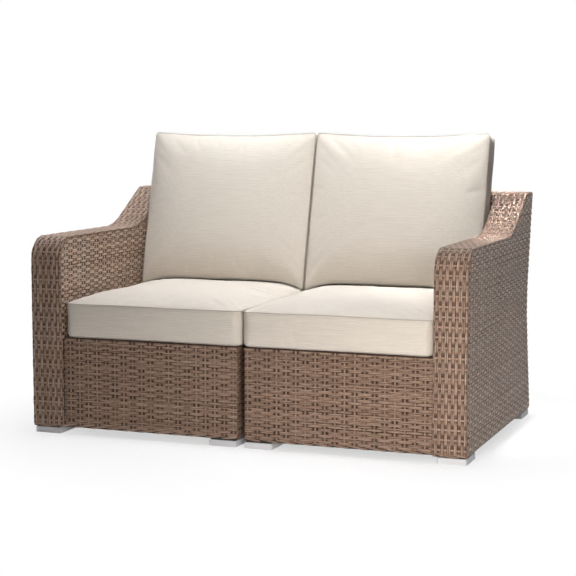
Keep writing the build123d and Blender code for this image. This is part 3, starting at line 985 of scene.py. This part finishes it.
for side in ("right", "left"):
    seat, pillow = seats[side], pillows[side]
    seat.points[:, 2] = np.maximum(seat.points[:, 2], seat_rest_z)
    let_down(pillow, seat)
    top = seat_top(seat)(*pillow.points[:, :2].T) + pillow_gap
    pillow.points[:, 2] = np.maximum(pillow.points[:, 2], top)
    rest_y = back_face(pillow.points[:, 2]) - pillow_back_gap
    leaning = pillow.points[:, 2] < pillow_lean_top
    pillow.points[leaning, 1] = np.minimum(pillow.points[:, 1], rest_y)[leaning]
    finish_cushion(seat, side, f"{side}_seat_cushion",
                   (f"{side}_seat_cover", f"{side}_seat_foam"),
                   np.array([0, 0, 1.0]), seat_welt_radius)
    finish_cushion(pillow, side, f"{side}_back_cushion",
                   (f"{side}_pillow_cover", f"{side}_pillow_fill"),
                   pillow_out, pillow_welt_radius)

for name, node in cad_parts.items():
    finish = node_finishes.get(name.split("_", 1)[1], frame_coat)
    node.data.materials.clear()
    node.data.materials.append(finish)


# Camera, light and floor

camera_data = bpy.data.cameras.new("camera")
camera_data.lens = camera_lens
camera_data.sensor_width = camera_sensor
camera = bpy.data.objects.new("camera", camera_data)
camera.location = camera_place
camera.rotation_euler = (radians(90 - camera_pitch), 0, radians(camera_yaw))
bpy.context.scene.collection.objects.link(camera)
bpy.context.scene.camera = camera


def softbox(name, place, aim, size, power, tint="F9FBFF", spread=180):
    """Square area lamp at a place, aimed at a point, gridded to a spread in degrees."""
    data = bpy.data.lights.new(name, "AREA")
    data.shape = "SQUARE"
    data.size = size
    data.energy = power
    data.spread = radians(spread)
    data.color = linear(tint)[:3]
    lamp = bpy.data.objects.new(name, data)
    lamp.location = place
    lamp.rotation_euler = (Vector(aim) - lamp.location).to_track_quat("-Z", "Y").to_euler()
    lamp.visible_camera = False
    bpy.context.scene.collection.objects.link(lamp)


softbox("high_rear_softbox", (0, 1.0, 3.0), (0, 0, 0.5), 2.2, 38)
softbox("overhead_softbox", (0.2, -0.4, 3.2), (0, 0, 0.4), 2.6, 12)
softbox("left_seat_softbox", (-0.3, -0.1, 5.0), (-0.35, -0.1, 0.4), 1.4, 4.4, spread=30)
softbox("right_seat_softbox", (0.4, -0.1, 5.0), (0.33, -0.15, 0.45), 1.0, 1.4, spread=22)
softbox("pillow_softbox", (-0.25, -1.8, 5.0), (-0.15, 0.45, 1.3), 1.2, 5.5, spread=22)
softbox("front_softbox", (0.8, -1.5, 0.45), (0.35, 0, 0.3), 0.7, 11.5, "FFFBF7")
softbox("arm_softbox", (0.5, 0.35, 5.0), (0.675, 0.25, 0.7), 0.35, 2.2, spread=14)


def seen_ray(tree):
    """1 for the camera's, glossy and transmitted rays, which see the plain white studio."""
    path = add(tree, "ShaderNodeLightPath")
    first = add(tree, "ShaderNodeMath", {
        0: path.outputs["Is Camera Ray"], 1: path.outputs["Is Glossy Ray"],
    }, operation="ADD").outputs[0]
    return add(tree, "ShaderNodeMath", {0: first, 1: path.outputs["Is Transmission Ray"]},
               operation="ADD", use_clamp=True).outputs[0]


world = bpy.data.worlds.new("studio")
bpy.context.scene.world = world
world.use_nodes = True
room_tree = world.node_tree
room_tree.nodes.clear()
room = add(room_tree, "ShaderNodeBackground", {"Color": linear("FFFFFF"), "Strength": 0.03})
white = add(room_tree, "ShaderNodeBackground", {"Color": linear("FFFFFF"), "Strength": 1.0})
mixed = add(room_tree, "ShaderNodeMixShader", {
    0: seen_ray(room_tree), 1: room.outputs[0], 2: white.outputs[0],
})
add(room_tree, "ShaderNodeOutputWorld", {"Surface": mixed.outputs[0]})

# Floor: matt white, more and more plain white to the camera up to 1.2 m from the middle
floor_material, floor_tree = start_material("white_studio_floor")
floor_place = add(floor_tree, "ShaderNodeTexCoord").outputs["Object"]
floor_grain = add(floor_tree, "ShaderNodeTexNoise", {"Vector": floor_place, "Scale": 3.0})
matt = add(floor_tree, "ShaderNodeBsdfPrincipled", {
    "Base Color": ramp(floor_tree, floor_grain.outputs["Fac"], ((0.3, "FAFAFA"), (0.7, "FDFDFD"))),
    "Roughness": 0.9,
})
glow = add(floor_tree, "ShaderNodeEmission", {"Color": linear("FFFFFF"), "Strength": 1.0})
reach = add(floor_tree, "ShaderNodeVectorMath", {0: floor_place}, operation="LENGTH")
far = add(floor_tree, "ShaderNodeMapRange", {
    "Value": reach.outputs["Value"], "From Min": 0.6, "From Max": 1.2, "To Min": 0.6,
}, interpolation_type="SMOOTHSTEP")
glow_share = add(floor_tree, "ShaderNodeMath", {
    0: far.outputs[0], 1: seen_ray(floor_tree),
}, operation="MULTIPLY").outputs[0]
floor_shader = add(floor_tree, "ShaderNodeMixShader", {
    0: glow_share, 1: matt.outputs[0], 2: glow.outputs[0],
})
add(floor_tree, "ShaderNodeOutputMaterial", {"Surface": floor_shader.outputs[0]})
floor_reach = 9000
floor_points = floor_reach * np.array([(-1, -1, 0), (1, -1, 0), (1, 1, 0), (-1, 1, 0.0)])
floor = piece_from("floor", floor_points, np.array([[0, 1, 2, 3]]), floor_material)

bpy.context.scene.view_settings.view_transform = "Standard"
